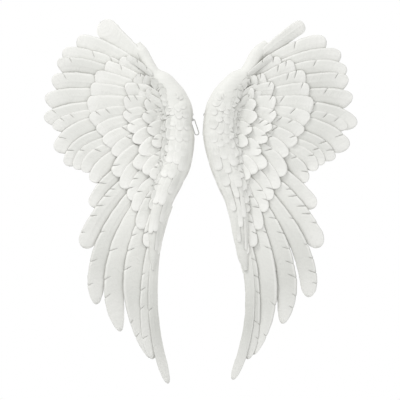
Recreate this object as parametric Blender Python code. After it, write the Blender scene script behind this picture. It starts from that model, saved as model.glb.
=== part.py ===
"""A hanging pair of cast resin wings: two castings, and behind each one two hinged wire
hanging loops in screwed steel straps, and three wall pads. Metres, +Z up, the front faces -Y.
The origin is on the wall, midway between the wings, at the height of the hooks they hang on.
"""
import math

import bmesh
import bpy
from mathutils import Matrix, Vector

MM = 0.001  # every size below is in millimetres

# Overall sizes
WING_HEIGHT = 562.0
WING_WIDTH = 230.0
PAIR_GAP = 12.4  # between the two castings, at their closest
RELIEF_DEPTH = 33.0  # casting thickness at the shoulder

# The feather and limb places below are drawn for a pair of these sizes.
DRAWN_HEIGHT = 562.0
DRAWN_WIDTH = 230.0
DRAWN_GAP = 12.4

# Casting
SHAFT_RISE = 1.1  # how far a vane's shaft stands above the straight line between its edges
VANE_TIP = 2.4  # a vane's width where its tip is blunted
TIP_SHARE = 0.985  # how much of its shaft a vane covers
TIP_POWER = 2.2  # of the tip's taper: a lower one is more pointed
BACK_OVERCUT = 3.0  # how far a feather runs past the flat back before the back is cut
OVERCUT_STEP = 0.11  # each feather ends at its own depth, so no two ends are coplanar

# Wall pads
PAD_DIAMETER = 12.0
PAD_THICKNESS = 5.0
GAP = 0.3  # between pieces that touch

# Hanging loop, its strap and its screw
WIRE_DIAMETER = 1.6
LOOP_LENGTH = 26.0  # over the wire
LOOP_CORNER = 1.2  # centreline radius where the bar turns into the sides
STRAP_THICKNESS = 0.8
TAB_MARGIN = 2.1  # steel outside the screw's head
TONGUE_LENGTH = 4.8  # bar to the tab's edge
TAB_START = 14  # degrees off the tab's top where its outline starts
CURL_TURN = 255  # degrees that the tongue is rolled round the bar
SCREW_HEAD = 4.2
SCREW_HEAD_HEIGHT = 1.4
SCREW_SHANK = 2.2
SCREW_LENGTH = 8.0
SCREW_POINT = 1.5  # length of the screw's taper
PILOT_SPARE = 0.9  # pilot hole beyond the screw's point
# The loop folds up over the screw's head, and the tongue fits between the loop's corners.
LOOP_WIDTH = SCREW_HEAD + 2 * (GAP + WIRE_DIAMETER)
TONGUE_WIDTH = LOOP_WIDTH - WIRE_DIAMETER - 2 * LOOP_CORNER - 2 * GAP
TAB_DIAMETER = SCREW_HEAD + 2 * TAB_MARGIN
TAB_REACH = TONGUE_LENGTH + TAB_DIAMETER / 2  # bar to screw

# Places in a wing: (outward from the pair's middle, up from the hooks)
# Each strap: how far out its bar lies, and how far its loop leans toward the other wing.
STRAPS = {
    "left": {"inner": (11.6, 18.0), "outer": (172.0, 0.0)},
    "right": {"inner": (9.0, 3.0), "outer": (172.0, 0.0)},
}
PADS = {"top_pad": (104.0, 58.0), "outer_pad": (186.0, -8.0), "low_pad": (104.0, -290.0)}

# Feathers: root, middle and tip of the shaft, width, length of the tip's taper in widths, and
# for a pointed feather the taper's own power.
OUTER_ROW = {
    "f01": ((78, 54), (116, 89), (155, 129), 33, 0.55),
    "f02": ((64, 31), (134, 79), (192, 98), 28, 0.7),
    "f03": ((64, 23), (150, 68), (214, 77), 25, 0.7),
    "f04": ((64, 16), (165, 57), (220, 59), 25, 0.7),
    "f05": ((67, 8), (172, 35), (228, 31), 29, 0.8),
    "f06": ((67, 0), (178, 14), (238, 3), 27, 0.8),
    "f07": ((67, -8), (184, -8), (236, -28), 28, 0.8),
    "f08": ((76, -12), (180, -19), (221, -40), 25, 0.6),
    "f09": ((94, -23), (178, -35), (218, -74), 30, 0.6),
    "f10": ((102, -39), (175, -56), (202, -95), 24, 0.6),
    "f11": ((102, -51), (168, -68), (186, -100), 23, 0.6),
    "f12": ((94, -54), (157, -76), (172, -104), 26, 0.6),
    "f13": ((87, -62), (142, -88), (161, -121), 26, 0.7),
    "f14": ((82, -78), (138, -117), (165, -159), 25, 0.8),
    "p01": ((76, -95), (139, -150), (180, -222), 29, 0.8),
    "p02": ((68, -105), (144.5, -206), (160, -309), 28, 1.7, 1.8),
    "p03": ((62, -118), (127, -231), (123, -351), 30, 1.9, 1.6),
    "p04": ((56, -132), (102, -259), (78, -392), 33, 3.4, 1.1),
    "p05": ((48, -147), (80, -272), (73, -394), 24, 1.8),
    "p06": ((54, -155), (73, -300), (49, -432), 15.5, 2.8),
    "p07": ((56, -147), (68.5, -205), (74, -265), 18, 0.8),
}
LONG_COVERTS = {
    "c01": ((64, 30), (100, 55), (126, 68), 20, 0.6),
    "c02": ((64, 20), (115, 47), (147, 60), 24, 0.6),
    "c03": ((64, 12), (125, 34), (164, 42), 26, 0.6),
    "c04": ((64, 4), (130, 18), (171, 22), 28, 0.6),
    "c05": ((64, -4), (132, 1), (175, -2), 30, 0.6),
    "c06": ((64, -12), (130, -14), (168, -26), 28, 0.6),
    "c07": ((64, -20), (125, -29), (157, -45), 26, 0.6),
    "c08": ((62, -30), (117, -44), (145, -63), 26, 0.6),
    "c09": ((58, -40), (107, -58), (128, -81), 28, 0.6),
    "c10": ((54, -55), (105, -78), (124, -112), 30, 0.6),
    "c11": ((50, -70), (98, -95), (115, -130), 24, 0.6),
    "c12": ((46, -85), (88, -110), (104, -148), 24, 0.6),
    "c13": ((40, -100), (82, -128), (97, -166), 22, 0.6),
    "c14": ((40, -115), (76, -150), (89, -193), 24, 0.6),
    "c15": ((46, -130), (68, -170), (81, -221), 22, 0.6),
    "c16": ((52, -140), (62, -187), (71, -232), 16, 0.8),
}
SHORT_COVERTS = {
    "d01": ((52, 20), (85, 35), (101, 43), 18, 0.6),
    "d02": ((52, 10), (93, 22), (114, 23), 24, 0.6),
    "d03": ((50, 0), (93, 3), (117, 1), 26, 0.6),
    "d04": ((48, -10), (92, -14), (114, -23), 26, 0.6),
    "d05": ((46, -20), (88, -30), (107, -42), 24, 0.6),
    "d06": ((44, -32), (82, -44), (97, -60), 24, 0.6),
    "d07": ((42, -44), (74, -60), (86, -78), 24, 0.6),
    "d08": ((40, -58), (76, -74), (98, -98), 22, 0.6),
    "d09": ((40, -72), (68, -86), (84, -108), 22, 0.6),
    "d10": ((40, -86), (60, -98), (74, -116), 22, 0.6),
}
RIM_COVERTS = {
    "e01": ((50, 20), (74, 34), (88, 40), 16, 0.6),
    "e02": ((48, 8), (70, 16), (84, 18), 20, 0.6),
    "e03": ((46, -4), (70, 0), (86, -2), 22, 0.6),
    "e04": ((46, -16), (70, -16), (87, -24), 22, 0.6),
    "e05": ((44, -28), (64, -34), (78, -44), 22, 0.6),
    "e06": ((42, -42), (58, -50), (70, -64), 20, 0.6),
}
MARGINALS = {
    "m0": ((73, 45), (96, 64), (113, 75), 10, 0.7),
    "m1": ((50, 14), (70, 33), (87, 43), 12, 0.6),
    "m2": ((50, 3), (73, 20), (92, 29), 12.5, 0.6),
    "m3": ((50, -6), (76, 11), (95, 16), 13, 0.6),
    "m4": ((43, -2), (58, 14), (71, 22), 10.5, 0.6),
}
# The right wing was sculpted on its own, so some of its feathers and tips differ.
RIGHT_FEATHERS = {
    "f01": ((78, 60), (126, 101), (162, 126), 22, 0.7),
    "p01": ((76, -95), (141, -150), (185, -221), 29, 0.8),
    "p02": ((68, -105), (148, -206), (168, -298), 28, 1.4, 2.0),
    "p04": ((56, -132), (102, -259), (83, -387), 33, 2.9, 1.3),
    "p06": ((54, -155), (78, -302), (50, -426), 15.5, 2.8),
}
RIGHT_TIPS = {
    "f02": (197, 97), "f03": (219, 74), "f04": (225, 47), "f06": (234, 4),
    "f07": (237, -36), "f09": (225, -71), "f10": (200, -87), "f11": (182, -92),
    "f12": (170, -101), "f13": (158, -121), "f14": (177, -160), "p03": (127, -339),
}
# Rows in the order they were laid: shaft height at the tip and at the root, as shares of
# the relief depth, the slope across the vane, and the number of lengths in each feather.
ROWS = (
    (OUTER_ROW, 0.22, 0.38, 2.0, 7),
    (LONG_COVERTS, 0.42, 0.46, 1.6, 4),
    (SHORT_COVERTS, 0.60, 0.42, 1.4, 4),
    (MARGINALS, 0.54, 0.70, 1.4, 4),
    (RIM_COVERTS, 0.66, 0.36, 1.2, 4),
)
# The limb under the leading edge: middle, half width, height as a share of the depth.
LIMB = (
    ((99.2, 94.8), 7.5, 0.30), ((88.6, 78.9), 10, 0.46), ((74.4, 49.9), 12, 0.64),
    ((53.8, 33.7), 15.4, 0.82), ((39.3, 10.2), 19.8, 0.95), ((31, -13), 21, 1.0),
    ((29.8, -50), 21.8, 1.0), ((35, -89), 21.5, 0.95), ((45.5, -115), 20, 0.88),
    ((58.5, -150), 16, 0.78), ((68, -188), 12.5, 0.66), ((72, -229), 8, 0.52),
    ((73, -256), 2.4, 0.42),
)
LOOP_NOTCH = 4.4  # how far the left limb is cut back where its inner loop shows
LOOP_NOTCH_UP = -30.0
LOOP_NOTCH_REACH = 12.0
RIGHT_LIMB_SPREAD = 1.5  # the right limb is this much wider toward the middle, each side
RIGHT_LIMB_SHIFT = (9, 2, 2, 1, 0, 0, 0, 4, 2, 0, -4, -4, 0)  # outward, at each station
LIMB_EDGE = 0.42  # height of the limb's edge, as a share of its middle's

LIMB_RINGS = 27
PAD_BEVEL = 0.5
BACK_CUT = (1.0, 0.2, 1.5)  # the box that planes the backs, in metres

UP_SCALE = WING_HEIGHT / DRAWN_HEIGHT
OUT_SCALE = WING_WIDTH / DRAWN_WIDTH
BACK = PAD_THICKNESS + GAP  # wall to the casting's flat back
BAR_REAR = GAP + STRAP_THICKNESS + GAP + WIRE_DIAMETER / 2  # casting back to the bar's middle
LOOP_REACH = LOOP_LENGTH - 1.5 * WIRE_DIAMETER  # bar to where a hook bears on the loop


def clear_scene():
    for thing in list(bpy.data.objects):
        bpy.data.objects.remove(thing)


def material(name, colour, roughness, metallic=0.0):
    made = bpy.data.materials.new(name)
    made.use_nodes = True
    shader = made.node_tree.nodes["Principled BSDF"]
    shader.inputs["Base Color"].default_value = (*colour, 1)
    shader.inputs["Roughness"].default_value = roughness
    shader.inputs["Metallic"].default_value = metallic
    made.diffuse_color = (*colour, 1)
    return made


def finish_mesh(shape, name, finish, smooth_angle=35):
    bmesh.ops.recalc_face_normals(shape, faces=shape.faces)
    mesh = bpy.data.meshes.new(name)
    shape.to_mesh(mesh)
    shape.free()
    piece = bpy.data.objects.new(name, mesh)
    bpy.context.collection.objects.link(piece)
    mesh.materials.append(finish)
    mesh.shade_smooth()
    mesh.set_sharp_from_angle(angle=math.radians(smooth_angle))
    return piece


def as_cutter(piece):
    piece.hide_render = True
    piece.display_type = "WIRE"
    return piece


def boolean(piece, other, operation):
    step = piece.modifiers.new(operation.lower(), "BOOLEAN")
    step.operation = operation
    step.solver = "EXACT"
    if isinstance(other, bpy.types.Collection):
        step.operand_type = "COLLECTION"
        step.collection = other
    else:
        step.object = other


def wing_point(side, out, up, rear):
    """A point in space from a wing place and its distance behind (+) or before (-) the wall."""
    inner = (PAIR_GAP - DRAWN_GAP) / 2
    return Vector((side * (inner + out * OUT_SCALE) * MM, rear * MM, up * UP_SCALE * MM))


def shaft_curve(root, middle, tip):
    """The curve through the three points, as a function of 0 to 1: (place, direction)."""
    root, middle, tip = Vector(root), Vector(middle), Vector(tip)
    control = 2 * middle - (root + tip) / 2

    def at(t):
        place = (1 - t) ** 2 * root + 2 * t * (1 - t) * control + t * t * tip
        along = (1 - t) * (control - root) + t * (tip - control)
        return place, along.normalized()

    return at


def half_width(t, length, width, taper, power):
    """Half the vane's width: narrow at the root, full before the tip's rounded taper."""
    start = 1 - taper * width / length
    if t > start:
        return width / 2 * math.sqrt(max(0.0, 1 - ((t - start) / (1 - start)) ** power))
    return width / 2 * (0.75 + 0.25 * math.sin(t / start * math.pi / 2))


def loft(shape, rings):
    """Closed rings of points joined by quads and capped at both ends."""
    rows = [[shape.verts.new(p) for p in ring] for ring in rings]
    for first, second in zip(rows, rows[1:]):
        for k in range(len(first)):
            following = (k + 1) % len(first)
            shape.faces.new((first[k], first[following], second[following], second[k]))
    shape.faces.new(rows[0][::-1])
    shape.faces.new(rows[-1])


def feather(side, name, spec, row, order, finish):
    """One vane, solid down to below the casting's back."""
    _, tip_height, root_height, slope, lengths = row
    spec = RIGHT_FEATHERS.get(name, spec) if side > 0 else spec
    root, middle, tip, width, taper, *own = spec
    power = own[0] if own else TIP_POWER
    tip = RIGHT_TIPS.get(name, tip) if side > 0 else tip
    at = shaft_curve(root, middle, tip)
    length = sum((at((k + 1) / 8)[0] - at(k / 8)[0]).length for k in range(8))
    bottom = -BACK + BACK_OVERCUT + order * OVERCUT_STEP
    rings = []
    for k in range(lengths + 1):
        t = TIP_SHARE * (1 - (1 - k / lengths) ** 1.5)
        place, along = at(t)
        half = max(half_width(t, length, width, taper, power), VANE_TIP / 2)
        across = Vector((-along.y, along.x)) * half
        share = root_height + (tip_height - root_height) * t
        height = BACK + share * RELIEF_DEPTH
        high, low = place + across, place - across
        rings.append([
            wing_point(side, high.x, high.y, -height - slope / 2),
            wing_point(side, place.x, place.y, -height - SHAFT_RISE),
            wing_point(side, low.x, low.y, -height + slope / 2),
            wing_point(side, low.x, low.y, bottom),
            wing_point(side, high.x, high.y, bottom),
        ])
    shape = bmesh.new()
    loft(shape, rings)
    label = "right_" if side > 0 else "left_"
    return as_cutter(finish_mesh(shape, label + name, finish))


def limb_point(side, t):
    """The limb's middle, half width and height share, t stations from its upper end."""
    k = min(int(t), len(LIMB) - 2)
    places = []
    for station in (min(max(k + n, 0), len(LIMB) - 1) for n in (-1, 0, 1, 2)):
        shift = RIGHT_LIMB_SHIFT[station] if side > 0 else 0
        places.append(Vector(LIMB[station][0]) + Vector((shift, 0)))
    a, b, c, d = places
    f = t - k
    middle = (2 * b + (c - a) * f + (2 * a - 5 * b + 4 * c - d) * f * f
              + (3 * b - a - 3 * c + d) * f ** 3) / 2
    half = LIMB[k][1] + (LIMB[k + 1][1] - LIMB[k][1]) * f
    share = LIMB[k][2] + (LIMB[k + 1][2] - LIMB[k][2]) * f
    return middle, half, share


def limb(side, name, finish):
    """The arm of the wing, a domed form that narrows toward both ends."""
    shape = bmesh.new()
    rings = []
    spread = RIGHT_LIMB_SPREAD if side > 0 else 0.0
    end = len(LIMB) - 1
    for k in range(LIMB_RINGS):
        t = end * k / (LIMB_RINGS - 1)
        middle, half, share = limb_point(side, t)
        after, before = limb_point(side, min(t + 0.1, end)), limb_point(side, max(t - 0.1, 0))
        along = (after[0] - before[0]).normalized()
        cut = 0.0
        if side < 0:
            far = (middle.y - LOOP_NOTCH_UP) / LOOP_NOTCH_REACH
            cut = LOOP_NOTCH / 2 * math.exp(-far * far)
        across = Vector((-along.y, along.x)) * (half + spread - cut)
        middle = middle - Vector((spread - cut, 0))
        ring = []
        for step in range(7):
            angle = math.pi * step / 6
            place = middle + across * math.cos(angle)
            rise = LIMB_EDGE + (1 - LIMB_EDGE) * math.sin(angle)
            ring.append(wing_point(side, place.x, place.y, -BACK - share * rise * RELIEF_DEPTH))
        for edge in (-1, 1):
            place = middle + across * edge
            ring.append(wing_point(side, place.x, place.y, -BACK + BACK_OVERCUT - OVERCUT_STEP))
        rings.append(ring)
    loft(shape, rings)
    return finish_mesh(shape, name, finish)


def cylinder(name, radius, start, end, finish, sides=16):
    """A round bar between two points."""
    shape = bmesh.new()
    span = end - start
    turn = Vector((0, 0, 1)).rotation_difference(span).to_matrix().to_4x4()
    bmesh.ops.create_cone(
        shape, cap_ends=True, segments=sides, radius1=radius, radius2=radius,
        depth=span.length, matrix=Matrix.Translation((start + end) / 2) @ turn,
    )
    return finish_mesh(shape, name, finish)


def lathe(name, profile, base, finish, sides=16):
    """A profile of (radius, distance in front of base) turned about an axis along -Y."""
    shape = bmesh.new()
    rings = []
    for radius, forward in profile:
        ring = []
        for k in range(sides):
            turn = 2 * math.pi * k / sides
            offset = Vector((radius * math.cos(turn), -forward, radius * math.sin(turn)))
            ring.append(base + offset * MM)
        rings.append(ring)
    loft(shape, rings)
    return finish_mesh(shape, name, finish)


def hanger_frame(side, out, tilt):
    """The bar's middle, and the directions along the loop (down), the bar, and the rear."""
    up = -LOOP_REACH * math.cos(tilt) / UP_SCALE
    middle = wing_point(side, out, up, -BACK + BAR_REAR)
    down = Vector((-side * math.sin(tilt), 0, -math.cos(tilt)))
    bar = Vector((math.cos(tilt), 0, -side * math.sin(tilt)))
    return middle, down, bar, Vector((0, 1, 0))


def loop_route():
    """The wire's closed centreline: (across, down) from the bar's middle."""
    half = (LOOP_WIDTH - WIRE_DIAMETER) / 2
    far = LOOP_LENGTH - WIRE_DIAMETER - half  # to the middle of the round end
    points = []
    for corner, order in ((-1, (3, 2, 1, 0)), (1, (0, 1, 2, 3))):
        for k in order:
            turn = math.pi / 2 * k / 3
            across = corner * (half - LOOP_CORNER * (1 - math.sin(turn)))
            points.append((across, LOOP_CORNER * (1 - math.cos(turn))))
    for k in range(9):
        turn = math.pi * k / 8
        points.append((half * math.cos(turn), far + half * math.sin(turn)))
    return points


def loop(name, frame, finish, sides=8):
    """A closed wire link whose bar turns in the strap's curl; its origin is on that axis."""
    middle, down, bar, rear = frame
    route = [bar * a + down * d for a, d in loop_route()]
    shape = bmesh.new()
    rings = []
    for k, point in enumerate(route):
        along = (route[(k + 1) % len(route)] - route[k - 1]).normalized()
        side_way = along.cross(rear)
        ring = []
        for step in range(sides):
            turn = 2 * math.pi * (step + 0.5) / sides
            offset = (side_way * math.cos(turn) + rear * math.sin(turn)) * WIRE_DIAMETER / 2
            ring.append(shape.verts.new((point + offset) * MM))
        rings.append(ring)
    for first, second in zip(rings, rings[1:] + rings[:1]):
        for k in range(sides):
            following = (k + 1) % sides
            shape.faces.new((first[k], first[following], second[following], second[k]))
    piece = finish_mesh(shape, name, finish, smooth_angle=60)
    piece.location = middle
    return piece


def strap(name, frame, finish):
    """A stamped leaf: a round screw tab, a tongue, and a curl rolled round the bar."""
    middle, down, bar, rear = frame
    centre_radius = WIRE_DIAMETER / 2 + GAP + STRAP_THICKNESS / 2
    tab = TAB_DIAMETER / 2
    stations = []  # (up from the bar, rear of the bar, direction of the leaf, width)
    neck = math.acos(-math.sqrt(1 - (TONGUE_WIDTH / TAB_DIAMETER) ** 2))
    start = math.radians(TAB_START)
    for k in range(9):
        turn = start + (neck - start) * k / 8
        stations.append((TAB_REACH + tab * math.cos(turn), -centre_radius, 0.0,
                         2 * tab * math.sin(turn)))
    for k in range(12):
        turn = math.radians(CURL_TURN) * k / 11
        stations.append((-centre_radius * math.sin(turn), -centre_radius * math.cos(turn),
                         turn, TONGUE_WIDTH))
    shape = bmesh.new()
    rings = []
    for up, back, turn, width in stations:
        place = -down * up + rear * back
        normal = down * math.sin(turn) - rear * math.cos(turn)
        ring = []
        for sideways, outward in ((-1, -1), (1, -1), (1, 1), (-1, 1)):
            offset = bar * sideways * width / 2 + normal * outward * STRAP_THICKNESS / 2
            ring.append(middle + (place + offset) * MM)
        rings.append(ring)
    loft(shape, rings)
    piece = finish_mesh(shape, name, finish)
    hole = middle - down * TAB_REACH * MM
    reach = rear * 3 * centre_radius * MM
    cutter = cylinder(name + "_hole", (SCREW_SHANK / 2 + GAP) * MM, hole - reach, hole + reach,
                      finish)
    boolean(piece, as_cutter(cutter), "DIFFERENCE")
    return piece


def screw(name, frame, finish):
    """A pan-head screw from behind the strap's tab into the casting."""
    middle, down, _, _ = frame
    base = middle - down * TAB_REACH * MM
    base.y = (-BACK + GAP + STRAP_THICKNESS + GAP) * MM
    head, shank = SCREW_HEAD / 2, SCREW_SHANK / 2
    profile = [(head * 0.45, -SCREW_HEAD_HEIGHT), (head * 0.8, -SCREW_HEAD_HEIGHT * 0.85),
               (head, -SCREW_HEAD_HEIGHT * 0.35), (head, 0), (shank, 0),
               (shank, SCREW_LENGTH - SCREW_POINT), (shank * 0.2, SCREW_LENGTH)]
    return lathe(name, profile, base, finish)


def pilot(name, frame, finish):
    """The hole in the casting for a strap's screw."""
    middle, down, _, rear = frame
    mouth = middle - down * TAB_REACH * MM
    mouth.y = (-BACK + 1) * MM
    depth = 1 + SCREW_LENGTH - GAP - STRAP_THICKNESS - GAP + PILOT_SPARE
    radius = (SCREW_SHANK / 2 + GAP) * MM
    return as_cutter(cylinder(name, radius, mouth, mouth - rear * depth * MM, finish))


def pad(name, side, place, finish):
    """A felt disc between the casting's back and the wall."""
    base = wing_point(side, *place, -PAD_THICKNESS)
    radius = PAD_DIAMETER / 2
    profile = [(radius - PAD_BEVEL, -PAD_THICKNESS), (radius, PAD_BEVEL - PAD_THICKNESS),
               (radius, 0)]
    return lathe(name, profile, base, finish, sides=20)


def wing(side, label, finishes):
    resin, steel, wire, zinc, felt = finishes
    casting = limb(side, label + "_casting", resin)
    vanes = bpy.data.collections.new(label + "_vanes")
    bpy.context.scene.collection.children.link(vanes)
    order = 0
    for row in ROWS:
        for name, spec in row[0].items():
            order += 1
            vane = feather(side, name, spec, row, order, resin)
            bpy.context.collection.objects.unlink(vane)
            vanes.objects.link(vane)
    boolean(casting, vanes, "UNION")
    box = bmesh.new()
    centre = Vector((0, -BACK * MM + BACK_CUT[1] / 2, 0))
    bmesh.ops.create_cube(box, size=1, matrix=Matrix.Translation(centre) @ Matrix.Diagonal(
        (*BACK_CUT, 1)))
    boolean(casting, as_cutter(finish_mesh(box, label + "_back_cut", resin)), "DIFFERENCE")
    for place, (out, lean) in STRAPS[label].items():
        frame = hanger_frame(side, out, math.radians(lean))
        strap(f"{label}_{place}_strap", frame, steel)
        loop(f"{label}_{place}_loop", frame, wire)
        screw(f"{label}_{place}_screw", frame, zinc)
        boolean(casting, pilot(f"{label}_{place}_pilot", frame, resin), "DIFFERENCE")
    for name, place in PADS.items():
        pad(f"{label}_{name}", side, place, felt)


def main():
    clear_scene()
    finishes = (
        material("white_resin", (0.83, 0.82, 0.79), 0.55),
        material("strap_steel", (0.56, 0.57, 0.58), 0.35, 1.0),
        material("loop_wire", (0.48, 0.49, 0.50), 0.30, 1.0),
        material("screw_zinc", (0.62, 0.62, 0.60), 0.32, 1.0),
        material("pad_felt", (0.86, 0.85, 0.82), 0.95),
    )
    wing(-1, "left", finishes)
    wing(1, "right", finishes)


main()
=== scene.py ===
# A hanging pair of cast resin wings: every casting is grown from feathers laid row by row.
import math
import random

import bmesh
import bpy
from mathutils import Matrix, Vector


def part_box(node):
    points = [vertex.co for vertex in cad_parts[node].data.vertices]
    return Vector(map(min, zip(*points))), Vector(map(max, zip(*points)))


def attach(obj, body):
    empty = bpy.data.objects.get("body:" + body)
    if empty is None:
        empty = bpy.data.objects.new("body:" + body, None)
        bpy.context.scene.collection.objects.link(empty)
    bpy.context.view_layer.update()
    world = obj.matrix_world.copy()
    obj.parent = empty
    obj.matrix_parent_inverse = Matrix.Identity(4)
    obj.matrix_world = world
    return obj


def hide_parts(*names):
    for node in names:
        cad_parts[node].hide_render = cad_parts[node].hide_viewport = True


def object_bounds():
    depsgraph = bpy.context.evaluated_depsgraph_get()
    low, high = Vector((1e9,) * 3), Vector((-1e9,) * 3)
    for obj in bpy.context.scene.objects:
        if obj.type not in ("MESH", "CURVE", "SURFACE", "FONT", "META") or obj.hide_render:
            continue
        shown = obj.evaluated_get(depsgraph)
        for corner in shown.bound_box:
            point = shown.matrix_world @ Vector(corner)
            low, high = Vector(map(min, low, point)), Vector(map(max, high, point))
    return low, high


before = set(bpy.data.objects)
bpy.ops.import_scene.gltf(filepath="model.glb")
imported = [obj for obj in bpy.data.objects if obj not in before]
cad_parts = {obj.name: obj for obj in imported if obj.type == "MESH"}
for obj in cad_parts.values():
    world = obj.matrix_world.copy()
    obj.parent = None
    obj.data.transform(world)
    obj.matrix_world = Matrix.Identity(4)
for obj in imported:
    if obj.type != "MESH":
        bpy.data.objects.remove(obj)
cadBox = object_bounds()
mm = 0.001
print("frame loaded")


def flatBack(label):
    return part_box(label + "_casting")[1][1]


# layout of one wing, in millimetres: outward from the pair's middle, up from the hooks
# each feather: root, middle and tip of the shaft, width, length of the tip's taper in widths,
# and for a pointed one the taper's own power
fan = {
    "f01": ((78, 54), (116, 89), (155, 129), 33, 0.55),
    "f02": ((64, 31), (134, 79), (192, 98), 28, 0.7),
    "f03": ((64, 23), (150, 68), (214, 77), 25, 0.7),
    "f04": ((64, 16), (165, 57), (220, 59), 25, 0.7),
    "f05": ((67, 8), (172, 35), (228, 31), 29, 0.8),
    "f06": ((67, 0), (178, 14), (238, 3), 27, 0.8),
    "f07": ((67, -8), (184, -8), (236, -28), 28, 0.8),
    "f08": ((76, -12), (180, -19), (221, -40), 25, 0.6),
    "f09": ((94, -23), (178, -35), (218, -74), 30, 0.6),
    "f10": ((102, -39), (175, -56), (202, -95), 24, 0.6),
    "f11": ((102, -51), (168, -68), (186, -100), 23, 0.6),
    "f12": ((94, -54), (157, -76), (172, -104), 26, 0.6),
    "f13": ((87, -62), (142, -88), (161, -121), 26, 0.7),
    "f14": ((82, -78), (138, -117), (165, -159), 25, 0.8),
}
primaries = {
    "p01": ((76, -95), (139, -150), (180, -222), 29, 0.8),
    "p02": ((68, -105), (144.5, -206), (160, -309), 28, 1.7, 1.8),
    "p03": ((62, -118), (127, -231), (123, -351), 30, 1.9, 1.6),
    "p04": ((56, -132), (102, -259), (78, -392), 33, 3.4, 1.1),
    "p05": ((48, -147), (80, -272), (73, -394), 24, 1.8),
    "p06": ((54, -155), (73, -300), (49, -432), 15.5, 2.8),
    "p07": ((56, -147), (68.5, -205), (74, -265), 18, 0.8),
}
longCoverts = {
    "c01": ((64, 30), (100, 55), (126, 68), 20, 0.6),
    "c02": ((64, 20), (115, 47), (147, 60), 24, 0.6),
    "c03": ((64, 12), (125, 34), (164, 42), 26, 0.6),
    "c04": ((64, 4), (130, 18), (171, 22), 28, 0.6),
    "c05": ((64, -4), (132, 1), (175, -2), 30, 0.6),
    "c06": ((64, -12), (130, -14), (168, -26), 28, 0.6),
    "c07": ((64, -20), (125, -29), (157, -45), 26, 0.6),
    "c08": ((62, -30), (117, -44), (145, -63), 26, 0.6),
    "c09": ((58, -40), (107, -58), (128, -81), 28, 0.6),
    "c10": ((54, -55), (105, -78), (124, -112), 30, 0.6),
    "c11": ((50, -70), (98, -95), (115, -130), 24, 0.6),
    "c12": ((46, -85), (88, -110), (104, -148), 24, 0.6),
    "c13": ((40, -100), (82, -128), (97, -166), 22, 0.6),
    "c14": ((40, -115), (76, -150), (89, -193), 24, 0.6),
    "c15": ((46, -130), (68, -170), (81, -221), 22, 0.6),
    "c16": ((52, -140), (62, -187), (71, -232), 16, 0.8),
}
shortCoverts = {
    "d01": ((52, 20), (85, 35), (101, 43), 18, 0.6),
    "d02": ((52, 10), (93, 22), (114, 23), 24, 0.6),
    "d03": ((50, 0), (93, 3), (117, 1), 26, 0.6),
    "d04": ((48, -10), (92, -14), (114, -23), 26, 0.6),
    "d05": ((46, -20), (88, -30), (107, -42), 24, 0.6),
    "d06": ((44, -32), (82, -44), (97, -60), 24, 0.6),
    "d07": ((42, -44), (74, -60), (86, -78), 24, 0.6),
    "d08": ((40, -58), (76, -74), (98, -98), 22, 0.6),
    "d09": ((40, -72), (68, -86), (84, -108), 22, 0.6),
    "d10": ((40, -86), (60, -98), (74, -116), 22, 0.6),
}
rimCoverts = {
    "e01": ((50, 20), (74, 34), (88, 40), 16, 0.6),
    "e02": ((48, 8), (70, 16), (84, 18), 20, 0.6),
    "e03": ((46, -4), (70, 0), (86, -2), 22, 0.6),
    "e04": ((46, -16), (70, -16), (87, -24), 22, 0.6),
    "e05": ((44, -28), (64, -34), (78, -44), 22, 0.6),
    "e06": ((42, -42), (58, -50), (70, -64), 20, 0.6),
}
marginals = {
    "m0": ((73, 45), (96, 64), (113, 75), 10, 0.7),
    "m1": ((50, 14), (70, 33), (87, 43), 12, 0.6),
    "m2": ((50, 3), (73, 20), (92, 29), 12.5, 0.6),
    "m3": ((50, -6), (76, 11), (95, 16), 13, 0.6),
    "m4": ((43, -2), (58, 14), (71, 22), 10.5, 0.6),
}
smoothVanes = {"f01": 0.0, "p06": 0.3, "p07": 0.0}  # share of nicks where it isn't the row's
# the right wing was sculpted on its own, so some of its feathers and tips differ
rightFeathers = {
    "f01": ((78, 60), (126, 101), (162, 126), 22, 0.7),
    "p01": ((76, -95), (141, -150), (185, -221), 29, 0.8),
    "p02": ((68, -105), (148, -206), (168, -298), 28, 1.4, 2.0),
    "p04": ((56, -132), (102, -259), (83, -387), 33, 2.9, 1.3),
    "p06": ((54, -155), (78, -302), (50, -426), 15.5, 2.8),
}
rightTips = {
    "f02": (197, 97), "f03": (219, 74), "f04": (225, 47), "f06": (234, 4),
    "f07": (237, -36), "f09": (225, -71), "f10": (200, -87), "f11": (182, -92),
    "f12": (170, -101), "f13": (158, -121), "f14": (177, -160), "p03": (127, -339),
}
# the limb's stations from its upper end: place, half width, height as a share of the relief
limbSpine = (
    ((99.2, 94.8), 7.5, 0.30), ((88.6, 78.9), 10, 0.46), ((74.4, 49.9), 12, 0.64),
    ((53.8, 33.7), 15.4, 0.82), ((39.3, 10.2), 19.8, 0.95), ((31, -13), 21, 1.0),
    ((29.8, -50), 21.8, 1.0), ((35, -89), 21.5, 0.95), ((45.5, -115), 20, 0.88),
    ((58.5, -150), 16, 0.78), ((68, -188), 12.5, 0.66), ((72, -229), 8, 0.52),
    ((73, -256), 2.4, 0.42),
)
stationStep = 33  # millimetres between stations, about
rightSpread = 1.5  # the right limb is this much wider toward the middle, each side
rightShift = (9, 2, 2, 1, 0, 0, 0, 4, 2, 0, -4, -4, 0)  # outward, at each of its stations
# small coverts crowd the hollow between the rim row and the limb
hollow = ((62, 6), (56, -8), (52, -26), (50, -50), (52, -78), (56, -104))
# the limb is cut back where the left inner hanging loop shows
loopNotch = {"depth": 4.4, "up": -30, "reach": 12}
relief = 33.0
tipDrift = 1.2  # how far a covert's tip may stray
widthRange = (0.97, 1.03)
layStep = 0.015  # each vane's underside lies this much in front of the one laid before
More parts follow.
